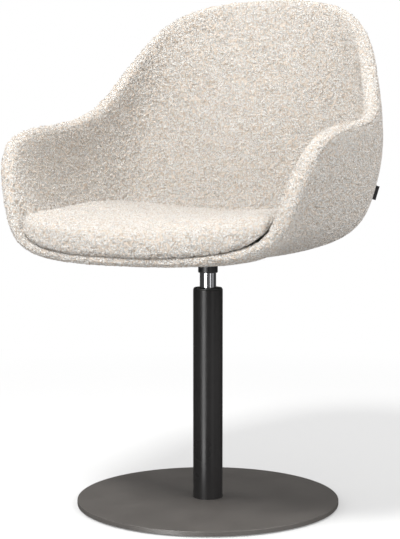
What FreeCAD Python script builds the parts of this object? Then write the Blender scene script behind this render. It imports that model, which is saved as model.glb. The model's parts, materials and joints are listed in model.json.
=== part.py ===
import FreeCAD, Part
import math
import os

# Pedestal swivel armchair: a padded bucket seat on a gas lift column with a round steel base.
# Millimetres. The origin is on the floor under the column, +Z is up, the open front faces -Y.

os.makedirs("parts", exist_ok=True)
V = FreeCAD.Vector

# Clearances
running_gap = 0.05
soft_gap = 0.3
stop_gap = 0.3
hole_gap = 0.3

# How far a cutter runs past the face it cuts
past = 1.0

# How close a measure has to be for an edge to be picked by it
tolerance = 0.01

# Base disc and its glides: a ring of them and one under the column
disc_radius = 225.0
disc_thickness = 8.0
disc_edge = 1.0
glide_height = 2.0
glide_radius = 11.0
glide_circle = 200.0
glide_count = 6
glide_peg_radius = 4.0
glide_peg_length = 4.0

# Column tube, the plug in its foot and the screws that hold it to the disc
tube_radius = 25.4
tube_wall = 2.5
tube_edge = 0.8
plug_height = 34.0
plug_web = 8.0
plug_cavity_radius = 12.0
base_screw_radius = 3.0
base_screw_length = 24.0
base_screw_circle = 17.4
base_screw_count = 4
countersink_radius = 6.0
countersink_depth = 3.0
hex_socket_size = 4.0
hex_socket_depth = 1.8

# Guide bush in the top of the tube, and the lift's chrome between it and the collar
chrome_shown = 25.5
bush_length = 60.0
bush_flange = 2.5
bush_edge = 1.2

# Thrust bearing that the lift rod turns on
race_thickness = 3.0
race_radius = 12.0
ball_radius = 2.0
ball_circle = 8.7
ball_count = 8
groove_depth = 0.7
cage_thickness = 1.5
cage_inner_radius = 6.2
cage_outer_radius = 11.2

# Lift rod, its clip and its bump stop
rod_radius = 5.0
rod_clearance = 0.4
rod_shoulder_radius = 9.0
rod_shoulder_length = 4.0
clip_washer_radius = 9.5
clip_washer_thickness = 1.6
clip_radius = 8.0
clip_thickness = 1.6
clip_groove_radius = 4.0
clip_mouth_nip = 1.0
rod_end_length = 2.5
bump_radius = 13.0
bump_length = 23.0
bump_edge = 1.5

# Gas lift: pressure tube, liner, piston and valve
lift_down = 20.0
lift_up = 80.0
lift_radius = 14.0
lift_wall = 2.0
lift_lip = 1.5
lift_lip_radius = 7.0
taper_length = 24.0
taper_slope = 0.025
lift_top_wall = 6.0
guide_length = 13.5
seal_length = 6.0
liner_radius = 10.5
liner_bore = 9.0
piston_spare = 1.0
piston_length = 12.0
piston_stub_radius = 4.0
piston_head_radius = 5.5
piston_head_length = 2.5
piston_ring_width = 4.0
piston_ring_depth = 1.8
valve_length = 32.0
valve_chamber_radius = 6.0
valve_chamber_length = 6.0
pin_radius = 3.0
pin_length = 32.0
pin_stand = 4.6
pin_edge = 1.0

# Collar that grips the top of the lift, and the pressed pan that carries the seat
collar_radius = 16.8
collar_length = 26.0
collar_below_top = 23.0
collar_edge = 1.0
pan_metal = 3.0
pan_depth = 17.5
pan_flange_half = 78.0
pan_flange_corner = 18.0
pan_well_top_half = 56.0
pan_well_top_corner = 16.0
pan_well_low_half = 46.0
pan_well_low_corner = 10.0
seat_bolt_place = 64.0
seat_bolt_radius = 3.0
seat_bolt_head_radius = 5.8
seat_bolt_head_length = 4.0
seat_washer_radius = 8.0
seat_washer_thickness = 1.6
nut_barrel_radius = 4.2
nut_flange_radius = 9.0
nut_flange_thickness = 1.2

# Height lever and its bracket
lever_pivot_x = -30.0
lever_pivot_rise = 6.2
lever_pivot_radius = 2.0
lever_barrel_radius = 4.0
lever_width = 8.0
lever_tongue_thickness = 4.0
lever_tongue_reach = 35.0
lever_rod_radius = 3.5
lever_drop = 10.5
lever_fall = 3.5
lever_bend_start = 28.0
lever_bend_run = 34.0
lever_bend_radius = 30.0
lever_length = 190.0
lever_slot_half = 6.0
lever_slot_rise = 0.5
lever_rod_drop = 1.0
ear_thickness = 2.0
ear_half_width = 6.0
ear_base = 1.0
grip_length = 62.0
grip_half_width = 11.0
grip_half_height = 4.5
grip_overlap = 40.0
grip_edge = 3.0
grip_end_flat = 0.5

# Bucket seat. Its middle surface runs from a flat floor up to the rim. The column's length follows floor_z.
floor_z = 442.5
floor_half = 11.0
lip_half = 8.0
wall_half = 15.5
shell_half = 3.0
shell_rim_share = 0.7
cover_thickness = 2.0
floor_ring_radii = (35.0, 75.0, 115.0)
floor_ring_share = 0.57
pan_front = 315.0
pan_side = 235.0
pan_back = 194.0
pan_front_power = 2.3
pan_back_power = 3.8
corner_lift = 38.0
corner_lift_height = 90.0
low_share = 0.33
high_share = 0.68
low_bulge = 0.072
high_bulge = 0.08
rim_inset = 8.0
lip_drop = 2.0
lip_stations = 2.9
wall_shares = (0.0, 0.0, 0.0, 0.0, 0.3, 0.75, 1.0, 1.0)

# Rim of the bucket, right half from the front lip to the crown: across, depth, height over the seat's floor
rim_points = (
    (0.0, -297.0, -4.0),
    (127.0, -286.0, -2.5),
    (205.0, -256.0, 13.5),
    (234.0, -239.0, 41.5),
    (250.0, -232.0, 108.5),
    (271.0, -196.0, 174.5),
    (275.0, -100.0, 190.5),
    (278.0, 8.0, 198.5),
    (263.0, 84.0, 223.5),
    (238.0, 141.0, 288.5),
    (206.0, 196.0, 369.5),
    (143.0, 236.0, 416.5),
    (0.0, 247.0, 426.5),
)
rim_round = 1.08

# Where the covers end on the wrapped skin, counted in guide rows from the middle of the underside
underside_row = 1.0
seam_row = 6.6
seam_gap_rows = 0.02
floor_opening_row = 15.5

# The foam round the shell is cut into front, left, back and right pieces along these directions from the front
foam_front_angle = 46.0
foam_back_angle = 121.0
foam_reach = 500.0
foam_height = 1000.0
foam_sector_steps = 4

# Seat cushion
cushion_gap = 1.2
cushion_rise = 56.5
cushion_side_rise = 15.0
cushion_side_reach = 225.0
cushion_front_drop = 9.0
cushion_front_reach = 285.0
cushion_edge_drop = 15.0
cushion_edge_height = 10.0
cushion_overhang = 9.0
cushion_open_depth = 20.0
cushion_low_share = 0.55
cushion_low_rise = 0.45
cushion_tuck = 2.0
cushion_start_row = 15.0
cushion_end_row = 10.0
cushion_steps = 100
cushion_underside_share = 0.65
cushion_wall_shares = (0.4, 0.75)
cushion_top_rings = ((0.9, 1.5), (0.62, 0.0), (0.28, 0.0))
board_half_width = 64.0
board_front = 64.0
board_back = 64.0
board_corner = 44.0
board_thickness = 8.0
cushion_screw_radius = 2.5
cushion_screw_circle = 48.0
cushion_screw_length = 25.0
cushion_screw_head_depth = 2.0
board_room_drop = 5.0

# Sewn-in tag on the rear left side
tag_station = 7.2
tag_row = 4.0
tag_length = 24.0
tag_width = 6.5
tag_thickness = 1.4
tag_slope_step = 0.05

# Levels worked out from the sizes above
disc_low = glide_height
disc_top = disc_low + disc_thickness
plug_top = disc_top + plug_height
web_low = plug_top - plug_web
race_face = plug_top + race_thickness
race_space = 2.0 * (ball_radius + running_gap - groove_depth)
ball_z = race_face + race_space / 2.0
upper_race_low = race_face + race_space
shoulder_low = upper_race_low + race_thickness
bump_low = shoulder_low + rod_shoulder_length
lift_low = bump_low + bump_length + stop_gap + lift_down
shell_low = floor_z - shell_half
shell_top = floor_z + shell_half
flange_low = shell_low - pan_metal
pan_low = shell_low - pan_depth
collar_top = pan_low + pan_metal
collar_low = collar_top - collar_length
lift_top = collar_low + collar_below_top
tube_top = collar_low - chrome_shown - bush_flange
bore_radius = lift_radius - lift_wall
guide_low = lift_low + lift_lip
seal_low = guide_low + guide_length
liner_low = seal_low + seal_length
valve_top = lift_top - lift_top_wall
valve_low = valve_top - valve_length
piston_low = liner_low + lift_up + piston_spare
pin_top = lift_top + pin_stand
pivot_z = collar_top + lever_pivot_rise
cushion_top = floor_z + cushion_rise
board_low = floor_z + floor_half + cushion_gap + cover_thickness + soft_gap


def save(name, shape):
    """Write one node and say how many solids it holds."""
    if not shape.isValid():
        print("not valid:", name)
    shape.exportStep("parts/" + name + ".step")
    print(name, len(shape.Solids), round(shape.Volume))


def cylinder(radius, low, high, x=0.0, y=0.0):
    return Part.makeCylinder(radius, high - low, V(x, y, low))


def ring(outer, inner, low, high):
    return cylinder(outer, low, high).cut(cylinder(inner, low - past, high + past))


def turned(profile):
    """Turn a closed outline of (radius, height) points about the column axis."""
    points = [V(radius, 0, z) for radius, z in profile]
    face = Part.Face(Part.makePolygon(points + points[:1]))
    return face.revolve(V(0, 0, 0), V(0, 0, 1), 360)


def around(shape, count, turn=0.0):
    copies = []
    for index in range(count):
        copy = shape.copy()
        copy.rotate(V(0, 0, 0), V(0, 0, 1), turn + 360.0 * index / count)
        copies.append(copy)
    return copies


def rounded_square(half, corner, z):
    """Outline of a square with quarter-circle corners, at one height."""
    return rounded_box_outline(-half, half, -half, half, corner, z)


def rounded_box_outline(x0, x1, y0, y1, corner, z):
    diagonal = corner * (1.0 - math.sqrt(0.5))
    edges = [
        Part.makeLine(V(x0 + corner, y0, z), V(x1 - corner, y0, z)),
        Part.Arc(V(x1 - corner, y0, z), V(x1 - diagonal, y0 + diagonal, z), V(x1, y0 + corner, z)).toShape(),
        Part.makeLine(V(x1, y0 + corner, z), V(x1, y1 - corner, z)),
        Part.Arc(V(x1, y1 - corner, z), V(x1 - diagonal, y1 - diagonal, z), V(x1 - corner, y1, z)).toShape(),
        Part.makeLine(V(x1 - corner, y1, z), V(x0 + corner, y1, z)),
        Part.Arc(V(x0 + corner, y1, z), V(x0 + diagonal, y1 - diagonal, z), V(x0, y1 - corner, z)).toShape(),
        Part.makeLine(V(x0, y1 - corner, z), V(x0, y0 + corner, z)),
        Part.Arc(V(x0, y0 + corner, z), V(x0 + diagonal, y0 + diagonal, z), V(x0 + corner, y0, z)).toShape(),
    ]
    return Part.Wire(edges)


def prism(outline, height):
    return Part.Face(outline).extrude(V(0, 0, height))


def hexagon(across_flats, low, high, x=0.0, y=0.0):
    reach = across_flats / math.sqrt(3.0)
    points = []
    for index in range(7):
        angle = math.radians(60.0 * index)
        points.append(V(x + reach * math.cos(angle), y + reach * math.sin(angle), low))
    return prism(Part.makePolygon(points), high - low)


def countersunk_screw(radius, low, length, head_radius, head_depth, x, y):
    """Countersunk screw that points up, its flat head at the low end."""
    head = Part.makeCone(head_radius, radius, head_depth, V(x, y, low))
    shank = cylinder(radius, low + head_depth, low + length, x, y)
    socket = hexagon(hex_socket_size, low - past, low + hex_socket_depth, x, y)
    return head.fuse(shank).removeSplitter().cut(socket)


def countersunk_hole(radius, low, high, head_radius, head_depth, x, y):
    head = Part.makeCone(head_radius + hole_gap, radius + hole_gap, head_depth, V(x, y, low))
    return head.fuse(cylinder(radius + hole_gap, low - past, high, x, y))


# Base


def make_base():
    disc = cylinder(disc_radius, disc_low, disc_top)
    rims = [edge for edge in disc.Edges if abs(edge.Length - 2 * math.pi * disc_radius) < tolerance]
    disc = disc.makeFillet(disc_edge, rims)
    peg = cylinder(glide_peg_radius, disc_low, disc_low + glide_peg_length, glide_circle)
    middle_peg = cylinder(glide_peg_radius, disc_low, disc_low + glide_peg_length)
    for hole in around(peg, glide_count) + [middle_peg]:
        disc = disc.cut(hole)
    hole = countersunk_hole(base_screw_radius, disc_low, disc_top + past,
                            countersink_radius, countersink_depth, base_screw_circle, 0.0)
    for copy in around(hole, base_screw_count):
        disc = disc.cut(copy)
    save("base_disc", disc)

    glide = cylinder(glide_radius, 0.0, glide_height, glide_circle).fuse(peg).removeSplitter()
    middle_glide = cylinder(glide_radius, 0.0, glide_height).fuse(middle_peg).removeSplitter()
    save("floor_glides", Part.makeCompound(around(glide, glide_count) + [middle_glide]))

    screw = countersunk_screw(base_screw_radius, disc_low, base_screw_length,
                              countersink_radius, countersink_depth, base_screw_circle, 0.0)
    save("base_screws", Part.makeCompound(around(screw, base_screw_count)))

    plug = cylinder(tube_radius - tube_wall, disc_top, plug_top)
    plug = plug.cut(cylinder(plug_cavity_radius, disc_top - past, web_low))
    plug = plug.cut(cylinder(rod_radius + rod_clearance, web_low - past, plug_top + past))
    thread = cylinder(base_screw_radius, disc_top - past, disc_low + base_screw_length, base_screw_circle)
    for copy in around(thread, base_screw_count):
        plug = plug.cut(copy)
    save("foot_plug", plug)

    tube = ring(tube_radius, tube_radius - tube_wall, disc_top, tube_top)
    outer_length = 2 * math.pi * (tube_radius - tube_wall / 2)
    top_edges = [edge for edge in tube.Edges
                 if edge.BoundBox.ZMin > tube_top - tolerance and edge.Length > outer_length]
    save("column_tube", tube.makeFillet(tube_edge, top_edges))

    bush = turned((
        (lift_radius + running_gap, tube_top - bush_length),
        (tube_radius - tube_wall, tube_top - bush_length),
        (tube_radius - tube_wall, tube_top),
        (tube_radius - tube_edge, tube_top),
        (tube_radius - tube_edge, tube_top + bush_flange - bush_edge),
        (tube_radius - tube_edge - bush_edge, tube_top + bush_flange),
        (lift_radius + running_gap + bush_edge, tube_top + bush_flange),
        (lift_radius + running_gap, tube_top + bush_flange - bush_edge),
    ))
    save("guide_bush", bush)


# Thrust bearing and lift rod


def make_bearing():
    groove = Part.makeTorus(ball_circle, ball_radius + running_gap, V(0, 0, ball_z))
    lower = ring(race_radius, rod_radius + rod_clearance, plug_top, race_face).cut(groove)
    save("lower_race", lower)
    upper = ring(race_radius, rod_radius, upper_race_low, shoulder_low).cut(groove)
    save("upper_race", upper)
    cage = ring(cage_outer_radius, cage_inner_radius, ball_z - cage_thickness / 2, ball_z + cage_thickness / 2)
    pocket = cylinder(ball_radius + running_gap, ball_z - cage_thickness, ball_z + cage_thickness, ball_circle)
    for copy in around(pocket, ball_count):
        cage = cage.cut(copy)
    save("ball_cage", cage)
    ball = Part.makeSphere(ball_radius, V(ball_circle, 0, ball_z))
    save("thrust_balls", Part.makeCompound(around(ball, ball_count)))


def make_rod():
    washer_low = web_low - running_gap - clip_washer_thickness
    clip_low = washer_low - clip_thickness
    rod_low = clip_low - rod_end_length
    save("rod_washer", ring(clip_washer_radius, rod_radius, washer_low, web_low - running_gap))

    clip = ring(clip_radius, clip_groove_radius, clip_low, washer_low)
    mouth_half = clip_groove_radius - clip_mouth_nip
    mouth = Part.makeBox(clip_radius + past, 2 * mouth_half, clip_thickness + 2 * past,
                         V(0, -mouth_half, clip_low - past))
    save("rod_clip", clip.cut(mouth))

    stub_top = piston_low + piston_length
    rod = turned((
        (0.0, rod_low),
        (rod_radius, rod_low),
        (rod_radius, clip_low),
        (clip_groove_radius, clip_low),
        (clip_groove_radius, washer_low),
        (rod_radius, washer_low),
        (rod_radius, shoulder_low),
        (rod_shoulder_radius, shoulder_low),
        (rod_shoulder_radius, bump_low),
        (rod_radius, bump_low),
        (rod_radius, piston_low),
        (piston_stub_radius, piston_low),
        (piston_stub_radius, stub_top),
        (piston_head_radius, stub_top),
        (piston_head_radius, stub_top + piston_head_length),
        (0.0, stub_top + piston_head_length),
    ))
    save("lift_rod", rod)

    bump = ring(bump_radius, rod_radius, bump_low, bump_low + bump_length)
    outer = [edge for edge in bump.Edges if edge.Length > math.pi * (bump_radius + rod_radius)
             and edge.BoundBox.ZMax - edge.BoundBox.ZMin < tolerance]
    save("bump_stop", bump.makeChamfer(bump_edge, outer))

    piston = ring(liner_bore - running_gap, piston_stub_radius, piston_low, stub_top)
    groove_low = piston_low + (piston_length - piston_ring_width) / 2
    groove_inner = liner_bore - running_gap - piston_ring_depth
    seal = ring(liner_bore - running_gap, groove_inner, groove_low, groove_low + piston_ring_width)
    save("piston", piston.cut(seal))
    save("piston_ring", seal)


# Gas lift


def taper_radius(z):
    """Outside radius of the pressure tube: straight, then narrowing at its top."""
    return lift_radius - taper_slope * max(0.0, z - (lift_top - taper_length))


def make_lift():
    taper_low = lift_top - taper_length
    pressure = turned((
        (lift_lip_radius, lift_low),
        (lift_radius, lift_low),
        (lift_radius, taper_low),
        (taper_radius(lift_top), lift_top),
        (pin_radius + hole_gap, lift_top),
        (pin_radius + hole_gap, valve_top),
        (bore_radius, valve_top),
        (bore_radius, guide_low),
        (lift_lip_radius, guide_low),
    ))
    save("pressure_tube", pressure)
    save("rod_guide", ring(bore_radius, rod_radius + running_gap, guide_low, seal_low))
    save("rod_seal", ring(bore_radius, rod_radius + running_gap, seal_low, liner_low))
    save("liner_tube", ring(liner_radius, liner_bore, liner_low, valve_low))
    valve = turned((
        (valve_chamber_radius, valve_low),
        (bore_radius, valve_low),
        (bore_radius, valve_top),
        (pin_radius + running_gap, valve_top),
        (pin_radius + running_gap, valve_low + valve_chamber_length),
        (valve_chamber_radius, valve_low + valve_chamber_length),
    ))
    save("valve_body", valve)
    pin = cylinder(pin_radius, pin_top - pin_length, pin_top)
    top_edges = [edge for edge in pin.Edges if edge.BoundBox.ZMin > pin_top - tolerance]
    save("release_pin", pin.makeChamfer(pin_edge, top_edges))


# Collar, pan and fasteners


def make_carrier():
    collar = turned((
        (taper_radius(collar_low), collar_low),
        (collar_radius - collar_edge, collar_low),
        (collar_radius, collar_low + collar_edge),
        (collar_radius, collar_top),
        (taper_radius(lift_top), collar_top),
        (taper_radius(lift_top), lift_top),
    ))
    save("taper_collar", collar)

    flange = prism(rounded_square(pan_flange_half, pan_flange_corner, flange_low), pan_metal)
    outside = Part.makeLoft([
        rounded_square(pan_well_low_half, pan_well_low_corner, pan_low),
        rounded_square(pan_well_top_half, pan_well_top_corner, shell_low),
    ], True, True)
    inside = Part.makeLoft([
        rounded_square(pan_well_low_half - pan_metal, pan_well_low_corner - pan_metal, collar_top),
        rounded_square(pan_well_top_half - pan_metal, pan_well_top_corner - pan_metal, shell_low),
    ], True, True)
    pan = flange.fuse(outside).cut(inside)
    pan = pan.cut(cylinder(collar_radius, pan_low - past, collar_top + past))
    slot_low = collar_top + lever_slot_rise
    slot_length = pan_well_top_half - pan_well_low_half + 2 * pan_metal
    slot = Part.makeBox(slot_length, 2 * lever_slot_half, flange_low - slot_low,
                        V(-pan_well_top_half - pan_metal / 2, -lever_slot_half, slot_low))
    pan = pan.cut(slot)
    for x, y in seat_bolt_places():
        pan = pan.cut(cylinder(seat_bolt_radius + hole_gap, flange_low - past, shell_low + past, x, y))
    save("seat_pan", pan.removeSplitter())

    washer_low = flange_low - seat_washer_thickness
    bolts = []
    washers = []
    nuts = []
    for x, y in seat_bolt_places():
        head = hexagon(2 * seat_bolt_head_radius * math.cos(math.pi / 6),
                       washer_low - seat_bolt_head_length, washer_low, x, y)
        bolts.append(head.fuse(cylinder(seat_bolt_radius, washer_low, shell_top, x, y)).removeSplitter())
        hole = cylinder(seat_bolt_radius + hole_gap, washer_low - past, flange_low + past, x, y)
        washers.append(cylinder(seat_washer_radius, washer_low, flange_low, x, y).cut(hole))
        nut = cylinder(nut_barrel_radius, shell_low + hole_gap, shell_top, x, y)
        nut = nut.fuse(cylinder(nut_flange_radius, shell_top - nut_flange_thickness, shell_top, x, y))
        nuts.append(nut.removeSplitter().cut(cylinder(seat_bolt_radius, shell_low - past, shell_top + past, x, y)))
    save("seat_bolts", Part.makeCompound(bolts))
    save("seat_washers", Part.makeCompound(washers))
    save("tee_nuts", Part.makeCompound(nuts))


def seat_bolt_places():
    return [(x * seat_bolt_place, y * seat_bolt_place) for x in (-1, 1) for y in (-1, 1)]


# Height lever


def make_lever():
    ears = []
    for side in (-1, 1):
        inner = lever_width / 2 + hole_gap
        low_y = inner if side > 0 else -inner - ear_thickness
        ear = Part.makeBox(2 * ear_half_width, ear_thickness, pivot_z + lever_barrel_radius - collar_top,
                           V(lever_pivot_x - ear_half_width, low_y, collar_top))
        ears.append(ear)
    span = lever_width + 2 * (hole_gap + ear_thickness)
    foot = Part.makeBox(2 * ear_half_width, span, ear_base,
                        V(lever_pivot_x - ear_half_width, -span / 2, collar_top))
    bracket = foot.fuse(ears).removeSplitter()
    pivot = Part.makeCylinder(lever_pivot_radius, span + 2 * past, V(lever_pivot_x, -span / 2 - past, pivot_z),
                              V(0, 1, 0))
    save("lever_bracket", bracket.cut(pivot))
    save("lever_pivot", pivot)

    barrel = Part.makeCylinder(lever_barrel_radius, lever_width, V(lever_pivot_x, -lever_width / 2, pivot_z),
                               V(0, 1, 0))
    tongue_low = pin_top + stop_gap / 2
    tongue = Part.makeBox(lever_tongue_reach, lever_width, lever_tongue_thickness,
                          V(lever_pivot_x, -lever_width / 2, tongue_low))
    path = lever_path()
    start = path.Vertexes[0].Point
    section = Part.Wire(Part.makeCircle(lever_rod_radius, start, V(1, 0, 0)))
    rod = path.makePipeShell([section], True, False)
    lever = barrel.fuse([tongue, rod])
    bore = Part.makeCylinder(lever_pivot_radius + running_gap, lever_width + 2 * past,
                             V(lever_pivot_x, -lever_width / 2 - past, pivot_z), V(0, 1, 0))
    save("height_lever", lever.cut(bore).removeSplitter())

    end = path.Vertexes[-1].Point
    low_x = end.x - grip_length + grip_overlap
    outline = rounded_box_outline(low_x, low_x + grip_length, -grip_half_width, grip_half_width,
                                  grip_half_width - grip_end_flat, end.z - grip_half_height)
    grip = prism(outline, 2 * grip_half_height)
    rims = [edge for edge in grip.Edges if edge.BoundBox.ZMax - edge.BoundBox.ZMin < tolerance]
    grip = grip.makeFillet(grip_edge, rims)
    save("lever_grip", grip.cut(rod))


def lever_path():
    """Centre line of the bent rod: level out of the barrel, down under the seat, then gently down."""
    high = V(lever_pivot_x, 0, pivot_z - lever_rod_drop)
    knee = high + V(-lever_bend_start, 0, 0)
    foot = knee + V(-lever_bend_run, 0, -lever_drop)
    end = V(high.x - lever_length, 0, foot.z - lever_fall)
    return rounded_path([high, knee, foot, end], lever_bend_radius)


def rounded_path(points, radius):
    """Straight runs joined by tangent arcs of one radius."""
    edges = []
    start = points[0]
    for index in range(1, len(points) - 1):
        corner = points[index]
        back = (points[index - 1] - corner).normalize()
        ahead = (points[index + 1] - corner).normalize()
        half_turn = (math.pi - back.getAngle(ahead)) / 2
        reach = radius * math.tan(half_turn)
        arc_start = corner + back * reach
        arc_end = corner + ahead * reach
        inward = (back + ahead).normalize()
        middle = corner + inward * (radius / math.cos(half_turn) - radius)
        edges.append(Part.makeLine(start, arc_start))
        edges.append(Part.Arc(arc_start, middle, arc_end).toShape())
        start = arc_end
    edges.append(Part.makeLine(start, points[-1]))
    return Part.Wire(edges)


# Bucket seat surfaces


def outline_reach(sine, cosine, front, side, back, front_power, back_power):
    """Radius of a rounded oblong in one direction, with its own front and back halves."""
    depth = front if cosine > 0 else back
    power = front_power if cosine > 0 else back_power
    return (abs(sine / side) ** power + abs(cosine / depth) ** power) ** (-1.0 / power)


def seat_guides():
    """Guide points of the middle surface, floor to rim, and half the wall at each."""
    guides = []
    halves = []
    for index, (x, y, rim_rise) in enumerate(rim_points):
        rim = V(x, y, floor_z + rim_rise)
        angle = math.atan2(x, -y)
        sine, cosine = math.sin(angle), math.cos(angle)
        out = V(sine, -cosine, 0)
        rise = max(rim_rise, 0.0)
        reach = outline_reach(sine, cosine, pan_front, pan_side, pan_back, pan_front_power, pan_back_power)
        row = [out * radius + V(0, 0, floor_z) for radius in floor_ring_radii]
        row.append(out * (floor_ring_share * reach) + V(0, 0, floor_z))
        inside_rim = math.hypot(x, y) - rim_inset
        lift = corner_lift * rise / (rise + corner_lift_height)
        corner_z = floor_z + min(0.0, rim_rise + lip_drop) + lift
        corner = out * min(reach, inside_rim) + V(0, 0, corner_z)
        swell = sine * sine * rise
        row.append(corner)
        row.append(corner + (rim - corner) * low_share + out * (low_bulge * swell))
        row.append(corner + (rim - corner) * high_share + out * (high_bulge * swell))
        row.append(rim)
        guides.append(row)
        side = 1.0 - math.exp(-((index / lip_stations) ** 4))
        wall = lip_half + (wall_half - lip_half) * side
        halves.append([floor_half + (wall - floor_half) * share for share in wall_shares])
    mirrored = [[V(-p.x, p.y, p.z) for p in row] for row in guides[-2:0:-1]]
    return guides + mirrored, halves + halves[-2:0:-1]


def guide_directions(rows, flat_rows, flat_normal):
    """Unit normal and rise direction at each guide point, from its neighbours.

    The first rows lie flat, so they share one normal, and the others point to the same side.
    """
    count = len(rows)
    normals = []
    rises = []
    for i in range(count):
        before, after = rows[i - 1], rows[(i + 1) % count]
        last = len(rows[i]) - 1
        normal_row = []
        rise_row = []
        for j in range(last + 1):
            along = after[j] - before[j]
            rise = rows[i][min(j + 1, last)] - rows[i][max(j - 1, 0)]
            side = -1.0 if flat_normal.z > 0 else 1.0
            normal = along.cross(rise).normalize() * side
            normal_row.append(flat_normal if j < flat_rows else normal)
            rise_row.append(rise.normalize())
        normals.append(normal_row)
        rises.append(rise_row)
    return normals, rises


def wrapped_rows(guides, normals, rises, halves):
    """Guide points that go up the outer side, round the rim and down the inner side."""
    diagonal = math.sqrt(0.5)
    rows = []
    for i in range(len(guides)):
        outer = [guides[i][j] - normals[i][j] * halves[i][j] for j in range(len(guides[i]))]
        inner = [guides[i][j] + normals[i][j] * halves[i][j] for j in range(len(guides[i]))]
        rim, normal, rise = guides[i][-1], normals[i][-1], rises[i][-1]
        roll = halves[i][-1] * rim_round
        turn = [
            rim + (rise - normal) * (diagonal * roll),
            rim + rise * roll,
            rim + (rise + normal) * (diagonal * roll),
        ]
        rows.append(outer + turn + inner[::-1])
    return rows


def surface(rows):
    """Smooth surface that closes on itself round the chair; row ends are open."""
    around_count = len(rows)
    spans = len(rows[0]) - 3
    result = Part.BSplineSurface()
    result.buildFromPolesMultsKnots(rows, [1] * (around_count + 1), [4] + [1] * (spans - 1) + [4],
                                    [float(k) for k in range(around_count + 1)],
                                    [float(k) for k in range(spans + 1)], True, False, 3, 3)
    return result


def band(skin, low, high):
    bounds = skin.bounds()
    return skin.toShape(bounds[0], bounds[1], low, high)


def hem(skin_a, a, skin_b, b):
    """Strip that joins two surfaces along one line of each."""
    return Part.makeRuledSurface(skin_a.vIso(a).toShape(), skin_b.vIso(b).toShape())


def sector(start, end):
    """Tall wedge about the column axis between two directions, in degrees from the front."""
    points = [V(0, 0, 0)]
    for index in range(foam_sector_steps + 1):
        angle = math.radians(start + (end - start) * index / foam_sector_steps)
        points.append(V(foam_reach * math.sin(angle), -foam_reach * math.cos(angle), 0))
    return prism(Part.makePolygon(points + points[:1]), foam_height)


def closed_solid(faces):
    shell = Part.Shell(faces)
    shell.sewShape()
    solid = Part.Solid(shell)
    if solid.Volume < 0:
        solid.reverse()
    return solid


def make_seat():
    guides, halves = seat_guides()
    normals, rises = guide_directions(guides, len(floor_ring_radii) + 1, V(0, 0, 1))

    def skin(depth):
        thinner = [[half - depth for half in row] for row in halves]
        return surface(wrapped_rows(guides, normals, rises, thinner))

    def core(half):
        short = [row[:-1] + [row[-2] + (row[-1] - row[-2]) * shell_rim_share] for row in guides]
        even = [[half] * len(row) for row in guides]
        return surface(wrapped_rows(short, normals, rises, even))

    last_row = float(len(guides[0]) * 2)
    inner_low = seam_row + seam_gap_rows
    visible = skin(0.0)
    lining = skin(cover_thickness)
    padding = skin(cover_thickness + soft_gap)
    shell_face = core(shell_half)
    pocket = core(shell_half + soft_gap)

    save("outer_cover", closed_solid([
        band(visible, underside_row, seam_row),
        band(lining, underside_row, seam_row),
        hem(visible, underside_row, lining, underside_row),
        hem(visible, seam_row, lining, seam_row),
    ]))
    save("inner_cover", closed_solid([
        band(visible, inner_low, floor_opening_row),
        band(lining, inner_low, floor_opening_row),
        hem(visible, inner_low, lining, inner_low),
        hem(visible, floor_opening_row, lining, floor_opening_row),
    ]))
    foam = closed_solid([
        band(padding, underside_row, floor_opening_row),
        band(pocket, underside_row, floor_opening_row),
        hem(padding, underside_row, pocket, underside_row),
        hem(padding, floor_opening_row, pocket, floor_opening_row),
    ])
    save("front_foam", foam.common(sector(-foam_front_angle, foam_front_angle)))
    save("left_foam", foam.common(sector(foam_front_angle, foam_back_angle)))
    save("back_foam", foam.common(sector(foam_back_angle, 360.0 - foam_back_angle)))
    save("right_foam", foam.common(sector(-foam_back_angle, -foam_front_angle)))

    shell = closed_solid([band(shell_face, 0.0, last_row), hem(shell_face, 0.0, shell_face, last_row)])
    for x, y in seat_bolt_places():
        shell = shell.cut(cylinder(nut_barrel_radius, shell_low - past, shell_top + past, x, y))
        shell = shell.cut(cylinder(nut_flange_radius, shell_top - nut_flange_thickness, shell_top + past, x, y))
    for x, y in cushion_screw_places():
        shell = shell.cut(countersunk_hole(cushion_screw_radius, shell_low, shell_top + past,
                                           2 * cushion_screw_radius, cushion_screw_head_depth, x, y))
    save("seat_shell", shell)
    make_tag(visible)
    make_cushion(skin(-cushion_gap))


def make_tag(visible):
    """Bare folded tag that stands out of the side seam."""
    place = visible.value(tag_station, tag_row)
    step = tag_slope_step
    ahead = (visible.value(tag_station, tag_row + step) - visible.value(tag_station, tag_row - step)).normalize()
    across = (visible.value(tag_station + step, tag_row) - visible.value(tag_station - step, tag_row)).normalize()
    out = ahead.cross(across).normalize()
    if out.x < 0:
        out = out * -1.0
    flat = ahead.cross(out).normalize()
    low = place - ahead * (tag_length / 2) - flat * (tag_thickness / 2) + out * (running_gap * 2)
    corners = [low, low + ahead * tag_length, low + ahead * tag_length + flat * tag_thickness,
               low + flat * tag_thickness]
    tag = Part.Face(Part.makePolygon(corners + corners[:1])).extrude(out * tag_width)
    save("blank_tag", tag)


# Seat cushion


def cushion_screw_places():
    return [(cushion_screw_circle, 0.0), (0.0, cushion_screw_circle),
            (-cushion_screw_circle, 0.0), (0.0, -cushion_screw_circle)]


def cushion_level(x, y):
    """Height of the cushion's top: it rises towards the arms and falls towards the front."""
    rise = cushion_side_rise * (x / cushion_side_reach) ** 2
    drop = cushion_front_drop * (max(-y, 0.0) / cushion_front_reach) ** 2
    return cushion_top + rise - drop


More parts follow.
